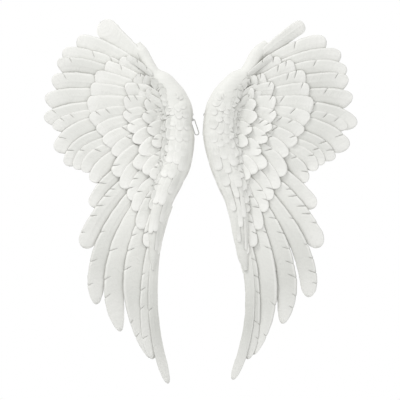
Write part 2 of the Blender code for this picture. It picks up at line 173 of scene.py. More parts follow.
# rows in the order they were laid: tip and root are heights above the flat back, as shares of
# the relief; slope is across the vane in millimetres; cells is how many places for a nick a vane
# has, and nicks the share of them that is nicked; the row's darkening, how much darker it is painted,
# stands for dust and for painted shade near the hollow
rows = (
    {"feathers": fan, "tip": 0.22, "root": 0.38, "slope": 3.8, "cells": 6, "nicks": 0.4,
     "dustAndShade": 0.0, "drift": 0.0},
    {"feathers": primaries, "tip": 0.22, "root": 0.38, "slope": 4.4, "cells": 10,
     "nicks": 0.7, "dustAndShade": 0.0, "drift": 0.0},
    {"feathers": longCoverts, "tip": 0.42, "root": 0.46, "slope": 3.2, "cells": 6,
     "nicks": 0.45, "dustAndShade": 0.0},
    {"feathers": shortCoverts, "tip": 0.60, "root": 0.42, "slope": 3.0, "cells": 5,
     "nicks": 0.5, "dustAndShade": 0.0},
    {"feathers": marginals, "tip": 0.50, "root": 0.66, "slope": 3.0, "cells": 3,
     "nicks": 0.35, "dustAndShade": 0.25},
    {"feathers": rimCoverts, "tip": 0.66, "root": 0.36, "slope": 2.4, "cells": 4,
     "nicks": 0.5, "dustAndShade": 0.15},
)


# Geometry Nodes written as sums
class Field:
    def __init__(self, tree, socket):
        self.tree, self.socket = tree, socket

    def calc(self, operation, *others):
        node = self.tree.nodes.new("ShaderNodeMath")
        node.operation = operation
        for slot, value in zip(node.inputs, (self, *others)):
            if isinstance(value, Field):
                self.tree.links.new(value.socket, slot)
            else:
                slot.default_value = value
        return Field(self.tree, node.outputs[0])

    def __add__(self, other):
        return self.calc("ADD", other)

    def __sub__(self, other):
        return self.calc("SUBTRACT", other)

    def __rsub__(self, other):
        return self.calc("MULTIPLY_ADD", -1.0, other)

    def __mul__(self, other):
        return self.calc("MULTIPLY", other)

    def __truediv__(self, other):
        return self.calc("DIVIDE", other)

    __radd__, __rmul__ = __add__, __mul__

    def ramp(self, low, high):  # 0 at low, 1 at high, eased
        node = self.tree.nodes.new("ShaderNodeMapRange")
        node.interpolation_type = "SMOOTHSTEP"
        self.tree.links.new(self.socket, node.inputs["Value"])
        for name, value in (("From Min", low), ("From Max", high)):
            if isinstance(value, Field):
                self.tree.links.new(value.socket, node.inputs[name])
            else:
                node.inputs[name].default_value = value
        return Field(self.tree, node.outputs["Result"])

    def clamp(self):
        return self.calc("MAXIMUM", 0.0).calc("MINIMUM", 1.0)


def attribute(tree, name, kind="FLOAT"):
    node = tree.nodes.new("GeometryNodeInputNamedAttribute")
    node.data_type = kind
    node.inputs["Name"].default_value = name
    if kind == "FLOAT":
        return Field(tree, node.outputs["Attribute"])
    split = tree.nodes.new("ShaderNodeSeparateXYZ")
    tree.links.new(node.outputs["Attribute"], split.inputs[0])
    return [Field(tree, split.outputs[k]) for k in range(3)]


def storeOn(tree, geometry, name, value, kind="FLOAT"):
    node = tree.nodes.new("GeometryNodeStoreNamedAttribute")
    node.data_type = kind
    node.inputs["Name"].default_value = name
    tree.links.new(geometry, node.inputs["Geometry"])
    tree.links.new(value.socket if isinstance(value, Field) else value, node.inputs["Value"])
    return node.outputs["Geometry"]


def vector(tree, x, y, z):
    node = tree.nodes.new("ShaderNodeCombineXYZ")
    for slot, value in zip(node.inputs, (x, y, z)):
        if isinstance(value, Field):
            tree.links.new(value.socket, slot)
        else:
            slot.default_value = value
    return node.outputs[0]


def steps(tree, value, points):
    node = tree.nodes.new("ShaderNodeFloatCurve")
    curve = node.mapping.curves[0]
    curve.points[0].location, curve.points[1].location = points[0], points[-1]
    for point in points[1:-1]:
        curve.points.new(*point)
    for point in curve.points:
        point.handle_type = "VECTOR"
    node.mapping.update()
    tree.links.new(value.socket, node.inputs["Value"])
    return Field(tree, node.outputs["Value"])


def noiseField(tree, x, y, scale):
    node = tree.nodes.new("ShaderNodeTexNoise")
    node.inputs["Scale"].default_value = scale
    node.inputs["Detail"].default_value = 1.0
    tree.links.new(vector(tree, x, y, 0.0), node.inputs["Vector"])
    return Field(tree, node.outputs["Fac"]) - 0.5


# heights, depths and lengths in millimetres; the rest are shares of a vane's width or length
vaneShape = {
    "rowsPerCell": 8,
    "barbSlant": 0.62,  # how far a barb runs toward the tip, per width
    "tipPower": 2.6,  # of the tip's taper, for a feather without its own
    "camber": 1.0,
    "lip": 1.7,
    "shaftRidge": 0.5,
    "nickDepth": 1.5,
    "split": 1.5,  # how far the barbs beyond a nick lie below those before it
    "nickReach": (0.05, 0.75),  # least, and how much luck adds
    "nickGape": (0.5, 1.1),  # at its inner end, and added at the vane's edge
    "nickBite": 0.9,  # how far it cuts into the outline
    "lipStart": 0.86,
    "shaftWidth": 0.09,
    "wobble": 0.16,
    "wobbleLength": 45,
    "fray": 0.15,
    "frayLength": 9,
    "wave": 1.2,
    "waveLength": 30,
    "streak": 1.1,
    "streakLength": 120,
    "patchLength": 18,  # of the grey paint left along an edge
    "relaxed": 0.65,  # how much of its own form a draped vane loses
    "drapeDepth": 3.5,  # a draped vane's thickness
}


def vaneTree():
    tree = bpy.data.node_groups.new("layVanes", "GeometryNodeTree")
    face = tree.interface
    face.new_socket("Geometry", in_out="INPUT", socket_type="NodeSocketGeometry")
    inputs = (("Cells", "NodeSocketInt", 4), ("Side", "NodeSocketFloat", 1.0),
              ("Back", "NodeSocketFloat", 0.0), ("Slope", "NodeSocketFloat", 2.0),
              ("Seed", "NodeSocketInt", 1),
              ("Drape", "NodeSocketFloat", 0.0), ("Body", "NodeSocketObject", None),
              ("Material", "NodeSocketMaterial", None))
    for name, kind, value in inputs:
        socket = face.new_socket(name, in_out="INPUT", socket_type=kind)
        if value is not None:
            socket.default_value = value
    face.new_socket("Geometry", in_out="OUTPUT", socket_type="NodeSocketGeometry")
    entry = tree.nodes.new("NodeGroupInput")
    leave = tree.nodes.new("NodeGroupOutput")
    take = {name: Field(tree, entry.outputs[name]) for name, _, _ in inputs}
    link = tree.links.new

    # one blank vane: a closed slab whose top is the vane's face
    columns = (0.0, 0.03, 0.10, 0.21, 0.33, 0.44, 0.48, 0.52,
               0.57, 0.66, 0.75, 0.84, 0.91, 0.95, 0.98, 1.0)
    slab = tree.nodes.new("GeometryNodeMeshCube")
    count = take["Cells"] * vaneShape["rowsPerCell"] + 1.0
    link(count.socket, slab.inputs["Vertices X"])
    slab.inputs["Vertices Y"].default_value = len(columns)
    slab.inputs["Vertices Z"].default_value = 2
    place = tree.nodes.new("GeometryNodeInputPosition")
    blank = storeOn(tree, slab.outputs["Mesh"], "slab", place.outputs[0], "FLOAT_VECTOR")
    onPoints = tree.nodes.new("GeometryNodeInstanceOnPoints")
    link(entry.outputs["Geometry"], onPoints.inputs["Points"])
    link(blank, onPoints.inputs["Instance"])
    realize = tree.nodes.new("GeometryNodeRealizeInstances")
    link(onPoints.outputs[0], realize.inputs[0])

    # along 0..1 with rows drawn together at each nick, across -1..1 with rows at shaft and lip
    x, y, z = attribute(tree, "slab", "FLOAT_VECTOR")
    run = (x + 0.5) * take["Cells"] * 0.99999
    cell = run.calc("FLOOR")
    part = run - cell
    close = ((0, 0), (1 / 8, .24), (2 / 8, .42), (3 / 8, .465), (4 / 8, .5), (5 / 8, .535),
             (6 / 8, .58), (7 / 8, .76), (1, 1))
    packed = steps(tree, part, close)
    last = (cell + 1.5).calc("GREATER_THAN", take["Cells"])
    rounded = (part * (math.pi / 2)).calc("SINE")
    inCell = packed + last * (rounded - packed)
    ident = attribute(tree, "ident")
    chance = tree.nodes.new("FunctionNodeRandomValue")
    chance.data_type = "FLOAT"
    link((ident * 31.0 + cell).socket, chance.inputs["ID"])
    link(take["Seed"].socket, chance.inputs["Seed"])
    luck = Field(tree, [o for o in chance.outputs if o.type == "VALUE"][0])
    wander = inCell.calc("POWER", 0.62 + (luck * 7.0).calc("FRACT") * 0.9)
    along = ((cell + wander) / take["Cells"]).clamp()
    across = steps(tree, y + 0.5, [(k / (len(columns) - 1), c) for k, c in enumerate(columns)])
    across = across * 2.0 - 1.0
    away = across.calc("ABSOLUTE")

    # outline
    width, length = attribute(tree, "width"), attribute(tree, "length")
    tipStart, tipPower = attribute(tree, "tipStart"), attribute(tree, "tipPower")
    fade = 1.0 - along.ramp(0.72, 1.0)
    slant = vaneShape["barbSlant"] * 0.5 * width / length
    run = (along + slant * away * fade).clamp()
    q = ((run - tipStart) / (1.0 - tipStart)).clamp()
    tipPart = (1.0 - q.calc("POWER", tipPower)).calc("MAXIMUM", 0.0).calc("SQRT")
    rootPart = 0.75 + 0.25 * ((run / tipStart).clamp() * (math.pi / 2)).calc("SINE")
    wobble = noiseField(tree, run * length / (vaneShape["wobbleLength"] * mm),
                        ident * 7.3 + across * 0.8, 1.0)
    fray = noiseField(tree, run * length / (vaneShape["frayLength"] * mm),
                      ident * 2.9 + across.calc("SIGN") * 3.0, 1.0)
    half = width * 0.5 * tipPart * rootPart * (1.0 + wobble * vaneShape["wobble"]
                                               + fray * vaneShape["fray"])

    # nicks: a cut along a barb, from the exposed edge inward
    isNick = luck.calc("LESS_THAN", attribute(tree, "nicks")) * (1.0 - last)
    leastReach, luckReach = vaneShape["nickReach"]
    reach = leastReach + luck * luckReach
    opening = ((across - reach) / (1.0 - reach)).clamp()
    cellLength = length / take["Cells"]
    inner, added = (size * mm for size in vaneShape["nickGape"])
    gape = (inner + opening * added) / cellLength
    sharp = (1.0 - (inCell - 0.5).calc("ABSOLUTE") / gape).calc("MAXIMUM", 0.0)
    nick = isNick * sharp * across.ramp(reach, reach + 0.22)
    half = half - nick * vaneShape["nickBite"] * mm
    beyond = (inCell - 0.5).calc("GREATER_THAN", 0.0) * (2.0 - 2.0 * inCell).clamp()
    split = isNick * beyond * beyond * across.ramp(reach, 1.0)

    # the shaft's curve and the place beside it
    root, bend, tip = (attribute(tree, name, "FLOAT_VECTOR") for name in ("root", "bend", "tip"))
    rest = 1.0 - run
    middle = [rest * rest * root[k] + 2.0 * run * rest * bend[k] + run * run * tip[k]
              for k in range(2)]
    going = [rest * (bend[k] - root[k]) + run * (tip[k] - bend[k]) for k in range(2)]
    size = (going[0] * going[0] + going[1] * going[1]).calc("SQRT")
    outward = middle[0] - across * half * going[1] / size
    upward = middle[1] + across * half * going[0] / size

    # height of the vane's face above the flat back, or above the body that it lies on
    rootHigh, tipHigh = attribute(tree, "rootHigh"), attribute(tree, "tipHigh")
    level = rootHigh + (tipHigh - rootHigh) * run
    drape = tree.nodes.new("GeometryNodeRaycast")
    target = tree.nodes.new("GeometryNodeObjectInfo")
    link(entry.outputs["Body"], target.inputs["Object"])
    link(target.outputs["Geometry"], drape.inputs["Target Geometry"])
    link(vector(tree, take["Side"] * outward, -0.2, upward), drape.inputs["Source Position"])
    drape.inputs["Ray Direction"].default_value = (0, 1, 0)
    drape.inputs["Ray Length"].default_value = 0.5
    ground = tree.nodes.new("ShaderNodeSeparateXYZ")
    link(drape.outputs["Hit Position"], ground.inputs[0])
    struck = tree.nodes.new("ShaderNodeMath")
    link(drape.outputs["Is Hit"], struck.inputs[0])
    struck.operation = "MULTIPLY"
    struck.inputs[1].default_value = 1.0
    hit = Field(tree, struck.outputs[0]) * take["Drape"]
    rise = tipHigh * (run * 1.3 - 0.3)
    draped = take["Back"] - Field(tree, ground.outputs[1]) + rise
    level = level + hit * (draped - level)
    crown = (1.0 - across * across) * (vaneShape["camber"] * mm)
    rim = (across.ramp(vaneShape["lipStart"], 1.0) + run.ramp(0.97, 1.0)).calc("MINIMUM", 1.0)
    lip = 1.0 - (1.0 - rim * rim).calc("MAXIMUM", 0.0).calc("SQRT")
    tilt = take["Slope"] * 0.5 * mm * across
    shaft = (1.0 - away / vaneShape["shaftWidth"]).calc("MAXIMUM", 0.0) * (1.0 - run)
    wave = noiseField(tree, run * length / (vaneShape["waveLength"] * mm),
                      ident * 3.1 + across * 0.9, 1.0)
    streak = noiseField(tree, run * length / (vaneShape["streakLength"] * mm),
                        ident * 5.7 + across * 5.0, 1.0)
    relax = 1.0 - hit * vaneShape["relaxed"]
    face = (level + relax * (crown - lip * (vaneShape["lip"] * mm)
            + shaft * (vaneShape["shaftRidge"] * mm) + wave * (vaneShape["wave"] * mm)
            + streak * (vaneShape["streak"] * mm) - nick * (vaneShape["nickDepth"] * mm)
            - split * (vaneShape["split"] * mm)) + tilt)
    bottom = attribute(tree, "bottom")
    bottom = bottom + hit * (level - vaneShape["drapeDepth"] * mm - bottom)
    top = (z + 0.5).calc("GREATER_THAN", 0.5)
    height = bottom + top * (face - bottom)
    forward = take["Back"] - height
    # paint settles along the exposed edge, at the tip and in the nicks
    patchy = noiseField(tree, run * length / (vaneShape["patchLength"] * mm), ident * 2.3, 1.0)
    patchy = patchy * 1.6 + 0.8
    edge = across.ramp(0.93, 1.0) * patchy.clamp() * 0.6
    ending = run.ramp(0.98, 1.0) * 0.4
    settled = (nick * 0.6).calc("MAXIMUM", edge).calc("MAXIMUM", ending).clamp()
    setPlace = tree.nodes.new("GeometryNodeSetPosition")
    stored = storeOn(tree, realize.outputs[0], "wash", settled * top)
    stored = storeOn(tree, stored, "front", top)
    # the darkening stored here is dust and painted shade; on a draped vane it fades toward the root
    lying = 1.0 - hit * (1.0 - run.ramp(0.3, 0.8))
    stored = storeOn(tree, stored, "dustAndShade", attribute(tree, "dustAndShade") * lying)
    ridge = across.ramp(0.70, 0.84) * (1.0 - across.ramp(0.88, 0.93)) * 0.9
    brushed = run.ramp(0.6, 0.95).calc("MAXIMUM", ridge)
    stored = storeOn(tree, stored, "ending", brushed * top)
    vanePlace = vector(tree, along * length, across * half, ident)
    stored = storeOn(tree, stored, "vane", vanePlace, "FLOAT_VECTOR")
    link(stored, setPlace.inputs["Geometry"])
    link(vector(tree, take["Side"] * outward, forward, upward), setPlace.inputs["Position"])
    paint = tree.nodes.new("GeometryNodeSetMaterial")
    link(setPlace.outputs[0], paint.inputs["Geometry"])
    link(take["Material"].socket, paint.inputs["Material"])
    link(paint.outputs[0], leave.inputs[0])
    return tree


def shaftLength(root, bend, tip):
    count = 12
    points = []
    for k in range(count + 1):
        t = k / count
        points.append((1 - t) ** 2 * root + 2 * t * (1 - t) * bend + t * t * tip)
    return sum((b - a).length for a, b in zip(points, points[1:]))


def layRow(label, side, row, back, tree, finish, seed, firstDepth, body):
    draw = random.Random(seed)
    feathers = row["feathers"]
    cloud = bpy.data.meshes.new(label)
    cloud.from_pydata([(0, 0, 0)] * len(feathers), [], [])
    kinds = {"root": "FLOAT_VECTOR", "bend": "FLOAT_VECTOR", "tip": "FLOAT_VECTOR",
             "width": "FLOAT", "length": "FLOAT", "tipStart": "FLOAT", "tipPower": "FLOAT",
             "nicks": "FLOAT", "ident": "FLOAT", "rootHigh": "FLOAT", "tipHigh": "FLOAT",
             "bottom": "FLOAT", "dustAndShade": "FLOAT"}
    for name, kind in kinds.items():
        cloud.attributes.new(name, kind, "POINT")
    for k, (name, spec) in enumerate(feathers.items()):
        spec = rightFeathers.get(name, spec) if side > 0 else spec
        root, middle, tip, width, taper = spec[:5]
        power = spec[5] if len(spec) > 5 else vaneShape["tipPower"]
        levels = spec[6] if len(spec) > 6 else (row["root"], row["tip"])
        dustAndShade = spec[7] if len(spec) > 7 else row["dustAndShade"]
        tip = rightTips.get(name, tip) if side > 0 else tip
        drift = row.get("drift", tipDrift)
        tip = Vector((*tip, 0)) + Vector((draw.uniform(-drift, drift), draw.uniform(-drift, drift), 0))
        root, middle = Vector((*root, 0)), Vector((*middle, 0))
        bend = 2 * middle - (root + tip) / 2
        width *= draw.uniform(*widthRange)
        length = shaftLength(root, bend, tip)
        values = {"root": root * mm, "bend": bend * mm, "tip": tip * mm,
                  "width": width * mm, "length": length * mm,
                  "tipStart": 1 - taper * width / length, "tipPower": power,
                  "nicks": smoothVanes.get(name, row["nicks"]), "ident": k + seed * 0.37,
                  "rootHigh": levels[0] * relief * mm, "tipHigh": levels[1] * relief * mm,
                  "bottom": (firstDepth + k) * layStep * mm, "dustAndShade": dustAndShade}
        for name, value in values.items():
            slot = cloud.attributes[name].data[k]
            if kinds[name] == "FLOAT":
                slot.value = value
            else:
                slot.vector = value
    holder = bpy.data.objects.new(label, cloud)
    bpy.context.collection.objects.link(holder)
    modifier = holder.modifiers.new("layVanes", "NODES")
    modifier.node_group = tree
    chosen = {"Cells": row["cells"], "Side": float(side), "Back": back,
              "Slope": row["slope"], "Seed": seed,
              "Drape": row.get("drape", 0.0), "Body": body, "Material": finish}
    for item in tree.interface.items_tree:
        if item.in_out == "INPUT" and item.name in chosen:
            modifier[item.identifier] = chosen[item.name]
    return holder


def plainMesh(holder):
    graph = bpy.context.evaluated_depsgraph_get()
    mesh = bpy.data.meshes.new_from_object(holder.evaluated_get(graph))
    bpy.data.objects.remove(holder)
    return mesh


def limbPoint(side, t):
    k = min(int(t), len(limbSpine) - 2)
    f = t - k
    places = []
    for station in (max(0, min(len(limbSpine) - 1, k + n)) for n in (-1, 0, 1, 2)):
        shift = rightShift[station] if side > 0 else 0
        places.append(Vector(limbSpine[station][0]) + Vector((shift, 0)))
    a, b, c, d = places
    middle = 0.5 * (2 * b + (c - a) * f + (2 * a - 5 * b + 4 * c - d) * f * f
                    + (3 * b - a - 3 * c + d) * f ** 3)
    ease = f * f * (3 - 2 * f)
    half = limbSpine[k][1] + (limbSpine[k + 1][1] - limbSpine[k][1]) * ease
    share = limbSpine[k][2] + (limbSpine[k + 1][2] - limbSpine[k][2]) * ease
    return middle, half, share


def limbAside(side, t):  # across the limb, toward the feathers
    ahead = (limbPoint(side, t + 0.1)[0] - limbPoint(side, t - 0.1)[0]).normalized()
    return Vector((-ahead.y, ahead.x))


def hollowShading(side):  # painted shade in the hollow, less in the right wing's, which lies in the limb's own cast shade
    return 0.65 if side < 0 else 0.3


# angles in degrees, levels as shares of the relief
crowdShape = {"count": 22, "scatter": ((-9, 5), (-2, 2)), "firstTurn": 30, "turnSpan": 100,
              "swing": 16, "reach": (17, 25), "arch": 1.2, "width": (12, 16), "taper": 0.6,
              "root": 0.34, "tip": 0.47, "tipSpread": 0.04}


def crowd(side):  # short coverts that turn outward from the hollow, from its top to its foot
    draw = random.Random(5 + side)
    count, swing, uneven = (crowdShape[name] for name in ("count", "swing", "tipSpread"))
    feathers = {}
    for k in range(count):
        t = (len(hollow) - 1) * k / count
        a, b = (Vector(hollow[int(t) + n]) for n in (0, 1))
        scatter = Vector([draw.uniform(*span) for span in crowdShape["scatter"]])
        root = a + (b - a) * (t - int(t)) + scatter
        turn = math.radians(crowdShape["firstTurn"] - crowdShape["turnSpan"] * k / count
                            + draw.uniform(-swing, swing))
        going = Vector((math.cos(turn), math.sin(turn)))
        reach = draw.uniform(*crowdShape["reach"])
        middle = root + going * reach * 0.5 + Vector((0, crowdShape["arch"]))
        tip = root + going * reach
        levels = (crowdShape["root"], crowdShape["tip"] + draw.uniform(-uneven, uneven))
        width = draw.uniform(*crowdShape["width"])
        feathers[f"h{k}"] = (tuple(root), tuple(middle), tuple(tip), width, crowdShape["taper"],
                             vaneShape["tipPower"], levels)
    return feathers


# start and stop are stations of the limb; shares are how far across it the roots and tips lie,
# and levels how high, as shares of the limb's own height there
fringeShape = {
    "lanes": (
        # each lane's darkening is painted shade, deeper toward the hollow
        {"start": 3.0, "stop": 9.6, "shares": (0.58, 0.86), "levels": (0.86, 0.80), "laneShade": 0.5},
        {"start": 3.2, "stop": 9.2, "shares": (0.84, 1.14), "levels": (0.72, 0.63), "laneShade": 0.8},
        {"start": 3.6, "stop": 8.6, "shares": (1.06, 1.42), "levels": (0.55, 0.51), "laneShade": 1.1},
    ),
    "reach": (20, 27), "sway": 0.05, "uneven": (-0.02, 0.03), "width": (11, 15), "taper": 0.6,
    "step": (0.32, 0.5),
}


def fringe(side):  # feathers that step down from the limb's outer side into the hollow
    draw = random.Random(21 + side)
    sway = fringeShape["sway"]
    feathers = {}
    for lane in fringeShape["lanes"]:
        rootShare, tipShare = lane["shares"]
        rootLevel, tipLevel = lane["levels"]
        t = lane["start"]
        while t < lane["stop"]:
            reach = draw.uniform(*fringeShape["reach"])
            stops = []
            for back, share in ((0.0, tipShare), (0.5, (tipShare + rootShare) / 2), (1.0, rootShare)):
                near = t - back * reach / stationStep
                middle, half, _ = limbPoint(side, near)
                aside = half * (share + draw.uniform(-sway, sway))
                stops.append(tuple(middle + limbAside(side, near) * aside))
            high = limbPoint(side, t)[2]
            levels = (rootLevel * high, (tipLevel + draw.uniform(*fringeShape["uneven"])) * high)
            width = draw.uniform(*fringeShape["width"])
            feathers[f"g{len(feathers)}"] = (stops[2], stops[1], stops[0], width,
                                             fringeShape["taper"], vaneShape["tipPower"], levels,
                                             lane["laneShade"] * hollowShading(side))
            t += draw.uniform(*fringeShape["step"])
    return feathers


# each lane: how far across the limb it lies, and its darkening for dust and painted shade; the scales
# are short above the station that "long" gives and grow to their full length over "growth" stations
scaleShape = {"lanes": ((0.42, 0.3), (-0.66, 0.05), (-0.08, 0.12)), "start": 4.3, "stagger": 0.3,
              "endGap": 0.9, "long": 6.6, "growth": 0.8, "reach": (18, 25), "longReach": 40,
              "lean": 0.08, "gather": 0.3, "width": (0.54, 0.74), "taper": 0.8,
              "lift": 1.1, "longLift": 0.8, "step": (0.36, 0.6), "longStep": 0.7}


def scales(side):  # feathers lying on the limb, short at the shoulder and long down its edge
    draw = random.Random(9 + side)
    spread = rightSpread if side > 0 else 0.0
    lastStation = len(limbSpine) - 1
    lean = scaleShape["lean"]
    feathers = {}
    for lane, (share, dustAndShade) in enumerate(scaleShape["lanes"]):
        t = scaleShape["start"] + scaleShape["stagger"] * lane
        while t < lastStation - scaleShape["endGap"]:
            low = min(1.0, max(0.0, (t - scaleShape["long"]) / scaleShape["growth"]))
            reach = draw.uniform(*scaleShape["reach"]) + scaleShape["longReach"] * low
            tilt = draw.uniform(-lean, lean)
            stops = []  # tip, middle and root follow the limb's own bend
            for back in (0.0, 0.5, 1.0):
                middle, half, _ = limbPoint(side, max(t - back * reach / stationStep, 0.3))
                near = max(t - back * reach / stationStep, 0.4)
                aside = half * (share * (1 - scaleShape["gather"] * back) + tilt)
                stops.append(tuple(middle - limbAside(side, near) * aside - Vector((spread, 0))))
            width = limbPoint(side, t)[1] * draw.uniform(*scaleShape["width"])
            levels = (0.0, (scaleShape["lift"] + scaleShape["longLift"] * low) / relief)
            feathers[f"s{len(feathers)}"] = (stops[2], stops[1], stops[0], width,
                                             scaleShape["taper"], vaneShape["tipPower"], levels, dustAndShade)
            t += draw.uniform(*scaleShape["step"]) + scaleShape["longStep"] * low
    return feathers


# edge and dome are the section's height at its sides and what its middle adds, as shares;
# paint is left on the laps of paintLaps, beside the inner edge
limbShape = {"laps": 61, "around": 17, "edge": 0.42, "dome": 0.58, "roundness": 0.8,
             "foot": 0.9, "paintLaps": (24, 46), "paint": 0.35}


def limbMesh(side, back, finish):
    count, around = limbShape["laps"], limbShape["around"]
    shape = bmesh.new()
    spread = rightSpread if side > 0 else 0.0
    rings = []
    stations = [(len(limbSpine) - 1) * k / (count - 1) for k in range(count)]
    for t in stations:
        middle, half, share = limbPoint(side, t)
        after = limbPoint(side, min(t + 0.05, stations[-1]))[0]
        before = limbPoint(side, max(t - 0.05, 0))[0]
        along = (after - before).normalized()
        cut = 0.0
        if side < 0:
            far = (middle.y - loopNotch["up"]) / loopNotch["reach"]
            cut = loopNotch["depth"] / 2 * math.exp(-far ** 2)
        across = Vector((-along.y, along.x)) * (half + spread - cut)
        middle = middle - Vector((spread - cut, 0))
        ring = []
        for step in range(around):
            turn = math.pi * step / (around - 1)
            place = middle + across * math.cos(turn)
            rise = limbShape["edge"] + limbShape["dome"] * math.sin(turn) ** limbShape["roundness"]
            height = share * rise * relief
            ring.append(shape.verts.new((side * place.x * mm, back - height * mm, place.y * mm)))
        for end in (-1, 1):
            place = middle + across * end
            foot = back - limbShape["foot"] * mm
            ring.append(shape.verts.new((side * place.x * mm, foot, place.y * mm)))
        rings.append(ring)
    for first, second in zip(rings, rings[1:]):
        for k in range(len(first)):
            following = (k + 1) % len(first)
            shape.faces.new((first[k], first[following], second[following], second[k]))
    shape.faces.new(rings[0])
    shape.faces.new(rings[-1])
    mesh = bpy.data.meshes.new("limb")
    shape.to_mesh(mesh)
    shape.free()
    mesh.materials.append(finish)
    for name in ("wash", "ending", "dustAndShade", "front"):
        mesh.attributes.new(name, "FLOAT", "POINT")
    mesh.attributes.new("vane", "FLOAT_VECTOR", "POINT")
    first, last = limbShape["paintLaps"]
    for k, vert in enumerate(mesh.vertices):
        mesh.attributes["vane"].data[k].vector = (vert.co.z, vert.co.x, 50)
        lap, step = divmod(k, around + 2)
        mesh.attributes["front"].data[k].value = float(step < around)
        if step in (around - 3, around - 2) and first < lap < last:
            patch = math.sin(lap * 1.9) * math.sin(lap * 0.7)
            mesh.attributes["wash"].data[k].value = limbShape["paint"] * (1 + patch)
    return mesh


def joinMeshes(name, meshes):
    shape = bmesh.new()
    for mesh in meshes:
        shape.from_mesh(mesh)
    bmesh.ops.remove_doubles(shape, verts=shape.verts, dist=0.004 * mm)
    bmesh.ops.recalc_face_normals(shape, faces=shape.faces)
    front = shape.verts.layers.float["front"]
    under = [f for f in shape.faces if all(v[front] < 0.5 for v in f.verts)]
    bmesh.ops.dissolve_faces(shape, faces=under, use_verts=False)
    shape.normal_update()
    joined = bpy.data.meshes.new(name)
    shape.to_mesh(joined)
    shape.free()
    joined.materials.clear()
    joined.materials.append(meshes[0].materials[0])
    joined.shade_smooth()
    joined.set_sharp_from_angle(angle=math.radians(50))
    piece = bpy.data.objects.new(name, joined)
    bpy.context.collection.objects.link(piece)
    return piece


# finishes
def newMaterial(name):
    made = bpy.data.materials.new(name)
    made.use_nodes = True
    return made, made.node_tree, made.node_tree.nodes["Principled BSDF"]


def node(tree, kind, **values):
    made = tree.nodes.new(kind)
    for name, value in values.items():
        if hasattr(made, name):
            setattr(made, name, value)
        else:
            made.inputs[name.replace("_", " ")].default_value = value
    return made


def blend(tree, factor, first, second, mode="MIX"):
    mix = tree.nodes.new("ShaderNodeMix")
    mix.data_type, mix.blend_type = "RGBA", mode
    for slot, value in ((0, factor), (6, first), (7, second)):
        if isinstance(value, bpy.types.NodeSocket):
            tree.links.new(value, mix.inputs[slot])
        else:
            mix.inputs[slot].default_value = value
    return mix.outputs[2]


def sums(tree, operation, first, second, third=None):
    made = tree.nodes.new("ShaderNodeMath")
    made.operation = operation
    for slot, value in zip(made.inputs, (first, second, third)):
        if isinstance(value, bpy.types.NodeSocket):
            tree.links.new(value, slot)
        elif value is not None:
            slot.default_value = value
    return made.outputs[0]


resinLook = {
    "paint": (0.83, 0.83, 0.795, 1),
    "shade": (0.53, 0.535, 0.505, 1),
    "lifted": (0.90, 0.895, 0.87, 1),
    "wash": (0.49, 0.485, 0.46, 1),
    "roughness": 0.52,
    "recessReach": 7,  # millimetres that a wall shades, for the wash in the recesses
    "washFrom": 0.30,  # how deep a recess is before wash settles, and where it is full
    "washFull": 0.85,
    "washShare": 0.7,
    "hollowReach": 30,  # the same for the painted shade in the hollows
    "lowShade": 0.9,  # painted shade, darker toward the long tips at the bottom
    "broadDust": 0.26,
    # painted shade in the hollows, from the wide occlusion
    "hollowShade": 0.8,
    "farShade": 0.28,  # painted shade, darker toward the outer tips
    "ownDust": 0.2,  # from one feather to the next
    "brushed": 0.45,  # pale paint on tips and ridges
}


